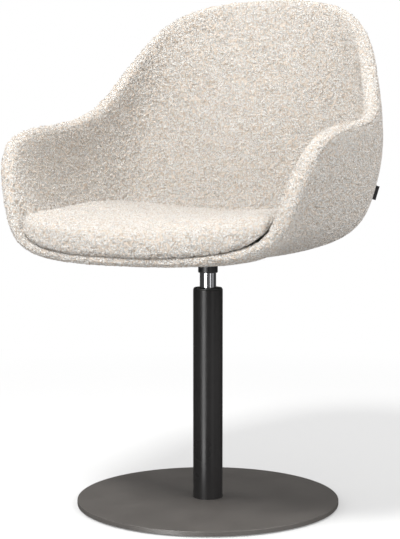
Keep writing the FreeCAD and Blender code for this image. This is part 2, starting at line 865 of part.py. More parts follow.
def cushion_rows(wall):
    """Guide points from the underside opening, along the bucket's wall, over the edge to the middle."""
    rows = []
    count = len(rim_points) * 2 - 2
    for i in range(count):
        profile = []
        for k in range(cushion_steps + 1):
            row = cushion_start_row + (cushion_end_row - cushion_start_row) * k / cushion_steps
            profile.append(wall.value((i - 1) % count, row))
        edge = cushion_steps
        for k, point in enumerate(profile):
            if point.z >= cushion_level(point.x, point.y) - cushion_edge_drop:
                edge = k
                break
        touch = profile[edge]
        out = V(touch.x, touch.y, 0).normalize()
        free = max(0.0, cushion_level(touch.x, touch.y) - cushion_edge_drop - touch.z)
        open_share = min(free / cushion_open_depth, 1.0)
        reach = cushion_overhang * open_share
        low = touch + out * (reach * cushion_low_share) + V(0, 0, free * cushion_low_rise)
        high = low + out * (reach * (1.0 - cushion_low_share) - cushion_tuck * (1.0 - open_share))
        high.z = cushion_level(low.x, low.y) - cushion_edge_drop + cushion_edge_height
        row = [
            V(profile[0].x * cushion_underside_share, profile[0].y * cushion_underside_share, profile[0].z),
            profile[0],
            profile[int(edge * cushion_wall_shares[0])],
            profile[int(edge * cushion_wall_shares[1])],
            low,
            high,
        ]
        for share, lift in cushion_top_rings:
            x, y = high.x * share, high.y * share
            row.append(V(x, y, cushion_level(x, y) + lift))
        row.append(V(0, 0, cushion_top))
        rows.append(row)
    return rows


def make_cushion(wall):
    rows = cushion_rows(wall)
    normals, _ = guide_directions([row[:-1] for row in rows], 2, V(0, 0, -1))

    def skin(depth):
        inset = []
        for i, row in enumerate(rows):
            moved = [row[j] - normals[i][j] * depth for j in range(len(row) - 1)]
            inset.append(moved + [row[-1] - V(0, 0, depth)])
        return surface(inset)

    outside = skin(0.0)
    inside = skin(cover_thickness)
    filling = skin(cover_thickness + soft_gap)
    end = outside.bounds()[3]
    save("cushion_cover", closed_solid([
        band(outside, 0.0, end),
        band(inside, 0.0, end),
        hem(outside, 0.0, inside, 0.0),
    ]))
    bottom = Part.Face(Part.Wire(filling.vIso(0.0).toShape()))
    foam = closed_solid([band(filling, 0.0, end), bottom])
    outline = rounded_box_outline(-board_half_width, board_half_width, -board_front, board_back,
                                  board_corner, board_low)
    board = prism(outline, board_thickness)
    room_low = board_low - board_room_drop
    room = rounded_box_outline(-board_half_width - soft_gap, board_half_width + soft_gap,
                               -board_front - soft_gap, board_back + soft_gap, board_corner, room_low)
    foam = foam.cut(prism(room, board_thickness + board_room_drop + soft_gap))
    save("cushion_foam", foam)
    screws = []
    for x, y in cushion_screw_places():
        board = board.cut(cylinder(cushion_screw_radius, board_low - past, shell_low + cushion_screw_length, x, y))
        screws.append(countersunk_screw(cushion_screw_radius, shell_low, cushion_screw_length,
                                        2 * cushion_screw_radius, cushion_screw_head_depth, x, y))
    save("cushion_board", board)
    save("cushion_screws", Part.makeCompound(screws))


make_base()
make_bearing()
make_rod()
make_lift()
make_carrier()
make_lever()
make_seat()
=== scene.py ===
import json
import math
import bpy
import bmesh
import numpy as np
from mathutils import Matrix, Vector


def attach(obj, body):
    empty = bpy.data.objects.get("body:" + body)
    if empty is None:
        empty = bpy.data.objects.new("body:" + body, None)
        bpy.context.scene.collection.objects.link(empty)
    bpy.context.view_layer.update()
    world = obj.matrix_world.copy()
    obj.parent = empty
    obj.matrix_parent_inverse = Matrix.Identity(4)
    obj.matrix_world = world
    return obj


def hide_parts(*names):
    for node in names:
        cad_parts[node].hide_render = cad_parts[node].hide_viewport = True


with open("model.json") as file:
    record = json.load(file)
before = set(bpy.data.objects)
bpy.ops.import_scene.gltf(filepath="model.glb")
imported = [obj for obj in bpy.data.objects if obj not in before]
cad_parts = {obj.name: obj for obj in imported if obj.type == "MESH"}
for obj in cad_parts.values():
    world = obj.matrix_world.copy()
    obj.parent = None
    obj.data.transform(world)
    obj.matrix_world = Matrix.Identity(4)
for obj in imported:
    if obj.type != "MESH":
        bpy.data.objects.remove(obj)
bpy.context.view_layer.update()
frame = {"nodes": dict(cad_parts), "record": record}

# Pedestal swivel armchair. The shapes are worked out in millimetres and scaled to metres in the meshes.
nodes = frame["nodes"]
milli = 0.001
up = np.array([0.0, 0.0, 1.0])
stationSteps = 40      # measuring steps from one guide column to the next
rowSteps = 400         # measuring steps along the guide rows
mergeReach = 2e-5      # points nearer than this are one, in metres


def meshObject(name, points, faces):
    # Points in mm and faces of equally many corners are put into the mesh whole
    mesh = bpy.data.meshes.new(name)
    count, corners = faces.shape
    mesh.vertices.add(len(points))
    mesh.vertices.foreach_set("co", (points * milli).astype(np.float32).ravel())
    mesh.loops.add(faces.size)
    mesh.loops.foreach_set("vertex_index", faces.ravel().astype(np.int32))
    mesh.polygons.add(count)
    mesh.polygons.foreach_set("loop_start", np.arange(0, faces.size, corners, dtype=np.int32))
    mesh.polygons.foreach_set("use_smooth", np.ones(count, bool))
    mesh.update(calc_edges=True)
    mesh.validate()
    piece = bpy.data.objects.new(name, mesh)
    bpy.context.scene.collection.objects.link(piece)
    return piece


def gridFaces(columns, rows, closeRows):
    # Quads between neighbours; the columns close into a ring round the chair, and the rows if asked
    steps = rows if closeRows else rows - 1
    i, j = np.meshgrid(np.arange(columns), np.arange(steps), indexing="ij")
    nextI, nextJ = (i + 1) % columns, (j + 1) % rows
    corners = [i * rows + j, nextI * rows + j, nextI * rows + nextJ, i * rows + nextJ]
    return np.stack(corners, -1).reshape(-1, 4)


def enclosedVolume(points, faces):
    # Sum of the cones from the origin to every quad, which is negative where the faces point inwards
    a, b, c, d = (points[faces[:, k]] for k in range(4))
    return (np.cross(b - a, c - a) * a).sum() / 6 + (np.cross(c - a, d - a) * a).sum() / 6


def gridPiece(name, grid, closeRows):
    # Mesh of a grid of points, columns first, with its faces turned outwards
    points = grid.reshape(-1, 3)
    faces = gridFaces(grid.shape[0], grid.shape[1], closeRows)
    outward = enclosedVolume(points, faces) > 0
    return meshObject(name, points, faces if outward else faces[:, ::-1])


def mergedPiece(name, grid, pile=None):
    # Grid whose first and last rows are single points; the doubles there are merged
    piece = gridPiece(name, grid, False)
    if pile is not None:
        setFloats(piece, "pile", pile)
    shape = bmesh.new()
    shape.from_mesh(piece.data)
    bmesh.ops.remove_doubles(shape, verts=shape.verts, dist=mergeReach)
    shape.to_mesh(piece.data)
    shape.free()
    return piece


def setFloats(piece, name, values):
    attribute = piece.data.attributes.new(name, "FLOAT", "POINT")
    attribute.data.foreach_set("value", np.asarray(values, np.float32).ravel())


def unitRows(vectors):
    # Each vector divided by its length
    return vectors / np.maximum(np.linalg.norm(vectors, axis=-1, keepdims=True), 1e-9)


def gridNormals(points):
    # Cross product of the steps round the chair and along the rows
    around = np.roll(points, -1, 0) - np.roll(points, 1, 0)
    along = np.gradient(points, axis=1)
    return unitRows(np.cross(around, along))


# Looped cloth: the loops stand in the mesh, and the finer curls are in the material
loops = {
    "size": 4.6,           # one loop, mm
    "stray": 0.8,          # how far a loop may lie off the middle of its cell, in cells
    "reach": 0.76,         # radius of a loop's dome, in cells
    "height": 2.4,         # from valley to crown, mm
    "bendSize": 7.0,       # noise that bends the domes out of round, and how far, mm
    "bend": 1.7,
    "swellSize": 75.0,     # long soft waves of the cloth and their height, mm
    "swell": 0.6,
    "loopSeed": 1,
    "bendSeeds": (3, 4, 5),
    "swellSeed": 9,
}
tenBits = 1023
noiseGain = 1.6            # brings the noise to about -1 to 1
cellCorners = np.array([(x, y, z) for z in (0, 1) for y in (0, 1) for x in (0, 1)])


def cellHash(cell, seed):
    # Scrambled whole number of each cell of a cubic lattice
    mixed = cell[:, 0] * 73856093 ^ cell[:, 1] * 19349663 ^ cell[:, 2] * 83492791 ^ seed * 40503
    return (mixed ^ mixed >> 13) * 1274126177 & 0x7fffffff


def latticeNoise(points, size, seed):
    # Smooth noise: a random slope at each corner of a cubic lattice, blended by a quintic ease
    scaled = points / size
    base = np.floor(scaled).astype(np.int64)
    part = scaled - base
    ease = part ** 3 * (part * (part * 6 - 15) + 10)
    total = np.zeros(len(points))
    for step in cellCorners:
        mixed = cellHash(base + step, seed)
        mixed = (mixed ^ mixed >> 11) * 668265263 & 0x7fffffff
        turn = (mixed & tenBits) * (2 * math.pi / (tenBits + 1))
        height = (mixed >> 10 & tenBits) / (tenBits / 2) - 1
        flat = np.sqrt(1 - height ** 2)
        slope = np.stack([flat * np.cos(turn), flat * np.sin(turn), height], -1)
        weight = np.where(step, ease, 1 - ease).prod(1)
        total += weight * ((part - step) * slope).sum(1)
    return total * noiseGain


def cellDistance(points, size, seed):
    # Distance in cells to the nearest of one scattered point in each of the eight cells about a place
    scaled = points / size
    base = np.floor(scaled - 0.5).astype(np.int64)
    nearest = np.full(len(points), np.inf)
    for step in cellCorners:
        cell = base + step
        mixed = cellHash(cell, seed)
        scatter = np.stack([mixed & tenBits, mixed >> 10 & tenBits, mixed >> 20 & tenBits], -1) / tenBits
        apart = cell + 0.5 + (scatter - 0.5) * loops["stray"] - scaled
        nearest = np.minimum(nearest, (apart ** 2).sum(1))
    return np.sqrt(nearest)


def loopHeights(points):
    # Round domes about scattered points; a coarser noise bends them out of round
    bend = np.stack([latticeNoise(points, loops["bendSize"], seed) for seed in loops["bendSeeds"]], -1)
    away = cellDistance(points + bend * loops["bend"], loops["size"], loops["loopSeed"]) / loops["reach"]
    return np.sqrt(np.clip(1 - away ** 2, 0, 1))


def looped(points, normals, share=1.0):
    # Points moved out and in along their normals by the loops and by the long soft waves
    pile = loopHeights(points)
    swell = latticeNoise(points, loops["swellSize"], loops["swellSeed"]) * loops["swell"]
    rise = (pile - 0.5) * loops["height"] + swell
    return points + normals * (rise * share)[:, None], pile


def roundWeights(places, count):
    # Uniform cubic weights of four neighbouring guide points, counted round a closed ring
    base = np.floor(places).astype(int)
    f = places - base
    cubic = [(1 - f) ** 3, 3 * f ** 3 - 6 * f ** 2 + 4, -3 * f ** 3 + 3 * f ** 2 + 3 * f + 1, f ** 3]
    weights = np.zeros((len(places), count))
    for k in range(4):
        np.add.at(weights, (np.arange(len(places)), (base + k) % count), cubic[k] / 6)
    return weights


def openWeights(places, count):
    # Cubic weights of guide points along an open row, raised degree by degree
    last = count - 3
    knots = np.concatenate([np.zeros(3), np.arange(last + 1), np.full(3, last)]).astype(float)
    places = np.minimum(places, last - 1e-9)[:, None]
    weights = ((places >= knots[:-1]) & (places < knots[1:])).astype(float)
    for degree in (1, 2, 3):
        span = knots[degree:] - knots[:-degree]
        ratio = (places - knots[:-degree]) / np.where(span > 0, span, 1) * (span > 0)
        falling = (knots[degree:] - places) / np.where(span > 0, span, 1) * (span > 0)
        weights = ratio[:, :-1] * weights[:, :-1] + falling[:, 1:] * weights[:, 1:]
    return weights


def surfacePoints(net, stations, rows):
    # Cubic spline surface over a net of guide points: closed round the chair, open along the rows
    around, along = roundWeights(stations, len(net)), openWeights(rows, net.shape[1])
    return np.einsum("ui,ijk,vj->uvk", around, net, along)


def guideDirections(net, flatRows, flatNormal):
    # Unit normal and rise direction of each guide point from its neighbours; the first rows lie flat
    last = net.shape[1] - 1
    j = np.arange(last + 1)
    around = np.roll(net, -1, 0) - np.roll(net, 1, 0)
    rise = net[:, np.minimum(j + 1, last)] - net[:, np.maximum(j - 1, 0)]
    normals = unitRows(np.cross(around, rise)) * (-1 if flatNormal[2] > 0 else 1)
    normals[:, :flatRows] = flatNormal
    return normals, unitRows(rise)


def evenPlaces(lengths, places, count):
    # Places with the same length of surface between each pair
    total = np.concatenate([[0], np.cumsum(lengths)])
    return np.interp(np.linspace(0, total[-1], count), total, places)


def evenStations(net, rows, count):
    # Columns spread evenly by the mean length of a few rows
    fine = np.linspace(0, len(net), len(net) * stationSteps + 1)
    points = surfacePoints(net, fine, np.array(rows))
    lengths = np.linalg.norm(np.diff(points, axis=0), axis=-1).mean(1)
    return evenPlaces(lengths, fine, count + 1)[:-1]


def evenRows(net, start, end, count):
    # Rows spread evenly by the root mean square length of the columns, so that the longest have enough
    fine = np.linspace(start, end, rowSteps + 1)
    points = surfacePoints(net, np.arange(0, len(net), 0.5), fine)
    lengths = np.sqrt((np.linalg.norm(np.diff(points, axis=1), axis=-1) ** 2).mean(0))
    return evenPlaces(lengths, fine, count)


# Bucket: one skin, taken at several depths, gives its covers, its foam and the room for the shell
bucket = {
    "rim": [(0, -297, 438.5), (127, -286, 440), (205, -256, 456), (234, -239, 484), (250, -232, 551),
            (271, -196, 617), (275, -100, 633), (278, 8, 641), (263, 84, 666), (238, 141, 731),
            (206, 196, 812), (143, 236, 859), (0, 247, 869)],   # lip to crown, right half
    "floorZ": 442.5,
    "rings": (35.0, 75.0, 115.0),       # radii of the floor's guide rings
    "ringShare": 0.57,                  # one more ring, this far out to the corner
    "pan": {"front": 315.0, "side": 235.0, "back": 194.0, "frontPower": 2.3, "backPower": 3.8},
    "cornerLift": 38.0,                 # rise of the corner between floor and wall
    "cornerLiftHeight": 90.0,           # height of wall that gives half of that rise
    "shares": (0.33, 0.68),             # guide rows on the wall, from corner to rim
    "bulges": (0.072, 0.08),            # how far each stands out, for each mm of wall
    "rimInset": 8.0,
    "lipDrop": 2.0,
    "floorHalf": 11.0,                  # half the padding's thickness: floor, front lip, walls
    "lipHalf": 8.0,
    "wallHalf": 15.5,
    "lipStations": 2.9,                 # guide columns over which the lip turns into wall
    "wallShares": (0, 0, 0, 0, 0.3, 0.75, 1, 1),
    "rimRound": 1.08,
    "cover": 2.0,                       # thickness of the cloth
    "gap": 0.3,                         # between cloth, foam and shell
    "shellHalf": 3.0,
    "shellRimShare": 0.7,               # the shell's last guide row ends this far along
    "underside": 1.0,                   # places of the covers' edges, in guide rows
    "seam": 6.6,
    "seamRoom": 0.02,
    "opening": 15.5,
    "seamDepth": 0.3,                   # valley of the seam, mm
    "seamWidth": 1.6,
    "edgeFade": 1.5,                    # near a cover's edge its loops are lower, mm
    "edgeLeast": 0.6,
    "measuredRows": (4.5, 6.5, 8.0, 11.0),
    "columns": 860,
    "outerRows": 325,
    "innerRows": 345,
    "liningStep": 16,                   # the lining has every so many of the face's rows
    "foamStep": 0.125,
    "paddingRows": 110,
    "pocketRows": 90,
}


def bucketGuides():
    # From the floor's rings through the pan's corner to the rim; the pan is an oblong with rounded corners
    rim = np.array(bucket["rim"], float)
    pan = bucket["pan"]
    reachOut = np.hypot(rim[:, 0], rim[:, 1])
    sine, cosine = rim[:, 0] / reachOut, -rim[:, 1] / reachOut
    out = np.stack([sine, -cosine, 0 * sine], -1)
    rise = np.maximum(rim[:, 2] - bucket["floorZ"], 0)
    depth = np.where(cosine > 0, pan["front"], pan["back"])
    power = np.where(cosine > 0, pan["frontPower"], pan["backPower"])
    reach = (np.abs(sine / pan["side"]) ** power + np.abs(cosine / depth) ** power) ** (-1 / power)
    floor = up * bucket["floorZ"]
    rows = [out * radius + floor for radius in bucket["rings"]]
    rows.append(out * (bucket["ringShare"] * reach)[:, None] + floor)
    lift = bucket["cornerLift"] * rise / (rise + bucket["cornerLiftHeight"])
    cornerZ = np.minimum(bucket["floorZ"], rim[:, 2] + bucket["lipDrop"]) + lift
    corner = out * np.minimum(reach, reachOut - bucket["rimInset"])[:, None] + up * cornerZ[:, None]
    rows.append(corner)
    for share, bulge in zip(bucket["shares"], bucket["bulges"]):
        rows.append(corner + (rim - corner) * share + out * (bulge * sine ** 2 * rise)[:, None])
    rows.append(rim)
    guides = np.stack(rows, 1)
    side = 1 - np.exp(-(np.arange(len(rim)) / bucket["lipStations"]) ** 4)
    wall = bucket["lipHalf"] + (bucket["wallHalf"] - bucket["lipHalf"]) * side
    halves = bucket["floorHalf"] + (wall[:, None] - bucket["floorHalf"]) * np.array(bucket["wallShares"])
    mirrored = guides[-2:0:-1] * [-1, 1, 1]
    return np.concatenate([guides, mirrored]), np.concatenate([halves, halves[-2:0:-1]])


def wrappedNet(guides, normals, rises, halves):
    # Up the outer side, round the rim by three more rows and down the inner side
    outer = guides - normals * halves[..., None]
    inner = guides + normals * halves[..., None]
    rim, normal, rise = guides[:, -1], normals[:, -1], rises[:, -1]
    roll = halves[:, -1:] * bucket["rimRound"]
    slant = math.sqrt(0.5)
    turn = [rim + (rise - normal) * roll * slant, rim + rise * roll, rim + (rise + normal) * roll * slant]
    return np.concatenate([outer, np.stack(turn, 1), inner[:, ::-1]], 1)


bucketNet, bucketHalves = bucketGuides()
bucketNormals, bucketRises = guideDirections(bucketNet, 4, up)


def bucketSkin(depth):
    # The padding's outside, moved inwards by depth
    return wrappedNet(bucketNet, bucketNormals, bucketRises, bucketHalves - depth)


def shellPocket(half):
    # Both sides of the shell, which ends short of the rim
    short = bucketNet.copy()
    short[:, -1] = short[:, -2] + (short[:, -1] - short[:, -2]) * bucket["shellRimShare"]
    return wrappedNet(short, bucketNormals, bucketRises, np.full(short.shape[:2], half))


def coverPiece(name, start, end, count, seamAtEnd):
    # One closed cloth: its looped face and, behind it, a plain lining with the same columns
    skin = bucketSkin(0.0)
    stations = evenStations(skin, bucket["measuredRows"], bucket["columns"])
    rows = evenRows(skin, start, end, count)
    face = surfacePoints(skin, stations, rows)
    normals = gridNormals(face)
    lining = surfacePoints(bucketSkin(bucket["cover"]), stations, rows[::-bucket["liningStep"]])
    if ((face - lining[:, -1:]) * normals).sum() < 0:
        normals = -normals
    steps = np.linalg.norm(np.diff(face, axis=1), axis=-1)
    fromStart = np.concatenate([np.zeros((len(face), 1)), np.cumsum(steps, 1)], 1)
    fromEnd = fromStart[:, -1:] - fromStart
    fromSeam = fromEnd if seamAtEnd else fromStart
    valley = bucket["seamDepth"] * np.exp(-(fromSeam / bucket["seamWidth"]) ** 2)
    share = np.clip(np.minimum(fromStart, fromEnd) / bucket["edgeFade"], bucket["edgeLeast"], 1)
    face = face - normals * valley[..., None]
    moved, pile = looped(face.reshape(-1, 3), normals.reshape(-1, 3), share.ravel())
    piece = gridPiece(name, np.concatenate([moved.reshape(face.shape), lining], 1), True)
    # The loops' heights go to the material as the pile attribute, for its painted shade and highlight; the
    # lining gets the middle value
    pile = np.concatenate([pile.reshape(face.shape[:2]), np.full(lining.shape[:2], 0.5)], 1)
    setFloats(piece, "pile", pile)
    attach(piece, "seat")
    return piece


def foamPiece():
    # Foam round the shell: out along the padding and back along the room for the shell
    stations = np.arange(0, len(bucketNet), bucket["foamStep"])
    start, end = bucket["underside"], bucket["opening"]
    outside = bucketSkin(bucket["cover"] + bucket["gap"])
    pocket = shellPocket(bucket["shellHalf"] + bucket["gap"])
    outward = surfacePoints(outside, stations, np.linspace(start, end, bucket["paddingRows"]))
    back = surfacePoints(pocket, stations, np.linspace(end, start, bucket["pocketRows"]))
    piece = gridPiece("bucketFoam", np.concatenate([outward, back], 1), True)
    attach(piece, "seat")
    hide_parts("front_foam", "left_foam", "back_foam", "right_foam")
    return piece


print("bucket covers")
innerStart = bucket["seam"] + bucket["seamRoom"]
outerCover = coverPiece("outerCover", bucket["underside"], bucket["seam"], bucket["outerRows"], True)
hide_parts("outer_cover")
innerCover = coverPiece("innerCover", innerStart, bucket["opening"], bucket["innerRows"], False)
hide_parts("inner_cover")
bucketFoam = foamPiece()


# Seat cushion, with a cloth simulation for the push of its filling
cushion = {
    "gap": 1.2,                         # to the bucket's skin
    "top": 498.3,
    "sideRise": 20.0,                   # rise of the top at the arms, and how far out that is
    "sideReach": 225.0,
    "frontDrop": 9.0,                   # fall of the top at the front, and how far forward that is
    "frontReach": 285.0,
    "edgeDrop": 15.0,                   # the side ends this far below the top
    "edgeHeight": 10.0,                 # and the top begins this far above that
    "overhang": 14.0,                   # how far the free front edge stands out
    "openDepth": 28.0,                  # free height of side from which it does so in full
    "lowRise": -0.35,                   # share of the free height by which that edge hangs lower
    "tuck": 6.0,                        # how far the top draws in beside the walls
    "wallRows": (15.0, 10.0),           # rows of the bucket's skin that the side follows
    "wallSamples": 101,
    "wallShares": (0.5, 0.92),
    "undersideShare": 0.65,
    "topShares": ((0.9, 1.5), (0.62, 0.0), (0.28, 0.0)),     # guide rows of the top: share and lift
    "boardTop": 465.5,                  # room for the board, in the foam
    "boardRoom": 65.0,
    "foamInset": 5.5,
    "foamStep": 0.2,
    "foamRows": 60,
    "startInset": 0.2,                  # the filling pushes the cloth out again by more than this
    "voxel": 0.006,                     # metres
    "pressure": 4.0,
    "stretch": 12.0,
    "bending": 4.0,
    "frames": 20,
    "most": 3.5,                        # how far the filling may push the cloth, mm
    "freeDepth": 6.0,                   # the cloth is free down to here below the top's level
    "heldFade": 6.0,                    # and held in full this much lower
    "blur": 8.0,
    "trialStep": 0.2,                   # spacing of the trial's rows, in guide rows
    "trialColumns": 96,
    "measuredRows": (3.5, 4.5, 5.0),
    "lowRows": (2.0, 14),               # last guide row of the underside's edge, and its rows
    "columns": 880,
    "rows": 225,
    "undersideRows": 8,
}


def cushionLevel(x, y):
    # The top rises towards the arms and falls towards the front, both by a square
    return (cushion["top"] + cushion["sideRise"] * (x / cushion["sideReach"]) ** 2
            - cushion["frontDrop"] * (np.maximum(-y, 0) / cushion["frontReach"]) ** 2)


def cushionGuides():
    # From the underside along the bucket's wall, over the edge and to the middle of the top
    count = len(bucketNet)
    ring = np.arange(count)
    samples = np.linspace(*cushion["wallRows"], cushion["wallSamples"])
    profile = surfacePoints(bucketSkin(-cushion["gap"]), (ring - 1.0) % count, samples)
    level = cushionLevel(profile[..., 0], profile[..., 1]) - cushion["edgeDrop"]
    reached = profile[..., 2] >= level
    edge = np.where(reached.any(1), reached.argmax(1), len(samples) - 1)
    touch = profile[ring, edge]
    out = unitRows(touch * [1, 1, 0])
    free = np.maximum(level[ring, edge] - touch[:, 2], 0)
    openShare = np.minimum(free / cushion["openDepth"], 1)
    reach = cushion["overhang"] * np.sqrt(openShare)
    low = touch + out * reach[:, None] + up * (free * cushion["lowRise"])[:, None]
    high = low - out * (cushion["tuck"] * (1 - openShare))[:, None]
    high[:, 2] = cushionLevel(low[:, 0], low[:, 1]) - cushion["edgeDrop"] + cushion["edgeHeight"]
    share = cushion["undersideShare"]
    rows = [profile[:, 0] * [share, share, 1], profile[:, 0]]
    rows += [profile[ring, (edge * part).astype(int)] for part in cushion["wallShares"]]
    rows += [low, high]
    for share, lift in cushion["topShares"]:
        x, y = high[:, 0] * share, high[:, 1] * share
        rows.append(np.stack([x, y, cushionLevel(x, y) + lift], -1))
    rows.append(np.tile([0, 0, cushion["top"]], (count, 1)))
    return np.stack(rows, 1)


def cushionSkin(depth):
    # The cushion's outside, moved inwards by depth
    net = cushionGuides()
    normals, _ = guideDirections(net[:, :-1], 2, -up)
    net[:, :-1] -= normals * depth
    net[:, -1, 2] -= depth
    return net


def closedBelow(side):
    # The side's rows with the underside drawn in to its middle before them
    share = (np.arange(cushion["undersideRows"]) / cushion["undersideRows"])[None, :, None]
    return np.concatenate([side[:, :1] * (share * [1, 1, 0] + [0, 0, 1]), side], 1)


def bakeModifiers(piece):
    # The piece's mesh gives way to the same mesh with its modifiers applied
    mesh = bpy.data.meshes.new_from_object(piece.evaluated_get(bpy.context.evaluated_depsgraph_get()))
    piece.modifiers.clear()
    old = piece.data
    piece.data = mesh
    bpy.data.meshes.remove(old)


def meshPoints(mesh):
    points = np.empty(len(mesh.vertices) * 3)
    mesh.vertices.foreach_get("co", points)
    return points.reshape(-1, 3) / milli


def filledMoves(net):
    # Cloth under the filling's pressure, held where it lies against the bucket. Gives how far it moves at the
    # trial's stations and rows, as the mean of the moves about each place, weighted by a bell curve
    columns, step = cushion["trialColumns"], cushion["trialStep"]
    stations = np.arange(columns) * len(net) / columns
    lastRow = net.shape[1] - 3
    trial = surfacePoints(net, stations, np.arange(0, lastRow + step / 2, step))
    piece = mergedPiece("trialCushion", closedBelow(trial))
    remesh = piece.modifiers.new("Remesh", "REMESH")
    remesh.mode = "VOXEL"
    remesh.voxel_size = cushion["voxel"]
    bakeModifiers(piece)
    start = meshPoints(piece.data)
    level = cushionLevel(start[:, 0], start[:, 1])
    held = np.clip((level - cushion["freeDepth"] - start[:, 2]) / cushion["heldFade"], 0, 1)
    group = piece.vertex_groups.new(name="held")
    for tenth in range(11):
        chosen = np.nonzero(np.round(held * 10) == tenth)[0].tolist()
        group.add(chosen, tenth / 10, "REPLACE")
    cloth = piece.modifiers.new("Cloth", "CLOTH")
    cloth.settings.vertex_group_mass = "held"
    cloth.settings.use_pressure = True
    cloth.settings.uniform_pressure_force = cushion["pressure"]
    cloth.settings.effector_weights.gravity = 0
    cloth.settings.tension_stiffness = cushion["stretch"]
    cloth.settings.compression_stiffness = cushion["stretch"]
    cloth.settings.bending_stiffness = cushion["bending"]
    cloth.point_cache.frame_start = 1
    cloth.point_cache.frame_end = cushion["frames"]
    for number in range(cushion["frames"]):
        bpy.context.scene.frame_set(number + 1)
    bakeModifiers(piece)
    bpy.context.scene.frame_set(1)
    moves = meshPoints(piece.data) - start
    length = np.linalg.norm(moves, axis=1, keepdims=True)
    moves *= np.minimum(1, cushion["most"] / np.maximum(length, 1e-6)) * (1 - held)[:, None]
    print("filling pushes the cloth by at most", round(float(np.linalg.norm(moves, axis=1).max()), 2), "mm")
    bpy.data.objects.remove(piece)
    places = trial.reshape(-1, 3)
    apart = (places ** 2).sum(1)[:, None] + (start ** 2).sum(1)[None] - 2 * places @ start.T
    near = np.exp(-np.maximum(apart, 0) / (2 * cushion["blur"] ** 2)) + 1e-12
    return (near @ moves / near.sum(1, keepdims=True)).reshape(trial.shape)


def cushionPiece():
    # The skin with the filling's moves, read as a spline over the trial's places, and the loops on it
    net = cushionSkin(cushion["startInset"])
    moves = filledMoves(net)
    stations = evenStations(net, cushion["measuredRows"], cushion["columns"])
    lowEnd, lowCount = cushion["lowRows"]
    rows = np.concatenate([np.linspace(0, lowEnd, lowCount, endpoint=False),
                           evenRows(net, lowEnd, net.shape[1] - 3, cushion["rows"])])
    trialStations = (stations * cushion["trialColumns"] / len(net) - 1) % cushion["trialColumns"]
    trialRows = np.clip(rows / cushion["trialStep"] - 1, 0, moves.shape[1] - 3)
    side = surfacePoints(net, stations, rows) + surfacePoints(moves, trialStations, trialRows)
    normals = gridNormals(side)
    if normals[:, -2, 2].sum() < 0:
        normals = -normals
    normals[:, -1] = up
    moved, pile = looped(side.reshape(-1, 3), normals.reshape(-1, 3))
    grid = closedBelow(moved.reshape(side.shape))
    # the loops' heights as the pile attribute, for the material's painted shade and highlight
    pile = pile.reshape(side.shape[:2])
    pile = np.concatenate([np.repeat(pile[:, :1], cushion["undersideRows"], 1), pile], 1)
    piece = mergedPiece("seatCushion", grid, pile)
    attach(piece, "seat")
    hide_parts("cushion_cover")
    return piece


def cushionFoamPiece():
    # Foam inside the cushion's cloth, hollowed below for the board, a square with round corners
    net = cushionSkin(cushion["foamInset"])
    stations = np.arange(0, len(net), cushion["foamStep"])
    side = surfacePoints(net, stations, np.linspace(0, net.shape[1] - 3, cushion["foamRows"]))
    angle = np.arctan2(side[:, 0, 0], side[:, 0, 1])
    board = cushion["boardRoom"] / (np.abs(np.sin(angle)) ** 4 + np.abs(np.cos(angle)) ** 4) ** 0.25
    ring = np.stack([np.sin(angle) * board, np.cos(angle) * board, 0 * angle], -1)
    top = up * cushion["boardTop"]
    hollow = np.stack([top + 0 * ring, ring * 0.5 + top, ring + top, ring + up * side[:, 0, 2:3]], 1)
    piece = mergedPiece("cushionFoam", np.concatenate([hollow, side], 1))
    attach(piece, "seat")
    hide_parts("cushion_foam")
    return piece


print("seat cushion")
seatCushion = cushionPiece()
cushionFoam = cushionFoamPiece()


# Bare tag in the side seam
tag = {
    "station": 7.2,         # its place on the bucket's skin
    "row": 4.0,
    "length": 24.0,
    "width": 6.5,
    "thickness": 1.4,
    "inset": 0.1,
    "squareness": 0.6,      # power that squares the oval section
    "pinch": 0.35,          # how much thinner both ends are
    "pinchPower": 30,
    "turns": 48,
    "steps": 61,
}


def tagPiece():
    # A flat loop of ribbon: a narrow oval section, carried along its length and pinched at both ends
    near = np.array([-0.05, 0.0, 0.05])
    patch = surfacePoints(bucketSkin(0.0), tag["station"] + near, tag["row"] + near)
    ahead = unitRows(patch[1, 2] - patch[1, 0])
    out = unitRows(np.cross(ahead, patch[2, 1] - patch[0, 1]))
    out = out if out[0] > 0 else -out
    flat = unitRows(np.cross(ahead, out))
    turn = np.linspace(0, 2 * math.pi, tag["turns"], endpoint=False)
    along = np.linspace(-0.5, 0.5, tag["steps"])
    waves = np.stack([np.cos(turn), np.sin(turn)])
    cosine, sine = np.sign(waves) * np.abs(waves) ** tag["squareness"]
    reach = tag["width"] * (0.5 + 0.5 * cosine) + tag["inset"]
    thick = tag["thickness"] / 2 * sine
    ends = 1 - np.abs(2 * along) ** tag["pinchPower"] * tag["pinch"]
    grid = (patch[1, 1] + (along * tag["length"])[None, :, None] * ahead
            + reach[:, None, None] * out + (thick[:, None] * ends)[..., None] * flat)
    poles = [np.repeat(grid[:, [row]].mean(0, keepdims=True), tag["turns"], 0) for row in (0, -1)]
    piece = mergedPiece("blankTag", np.concatenate([poles[0], grid, poles[1]], 1))
    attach(piece, "seat")
    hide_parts("blank_tag")
    return piece


blankTag = tagPiece()


def newMaterial(name):
    material = bpy.data.materials.new(name)
    material.use_nodes = True
    return material, material.node_tree, material.node_tree.nodes["Principled BSDF"]


def feed(tree, node, inputs):
    # Links each given socket to an input of the node, and sets each given value there
    for key, value in inputs.items():
        if isinstance(value, bpy.types.NodeSocket):
            tree.links.new(value, node.inputs[key])
        else:
            node.inputs[key].default_value = value


def addNode(tree, kind, inputs=(), **settings):
    # New node with its settings, and then its inputs
    node = tree.nodes.new(kind)
    for key, value in settings.items():
        setattr(node, key, value)
    feed(tree, node, dict(inputs))
    return node


def objectCoordinates(tree):
    return addNode(tree, "ShaderNodeTexCoord").outputs["Object"]


def noiseNode(tree, place, size, **more):
    return addNode(tree, "ShaderNodeTexNoise", {"Vector": place, "Scale": size, **more})


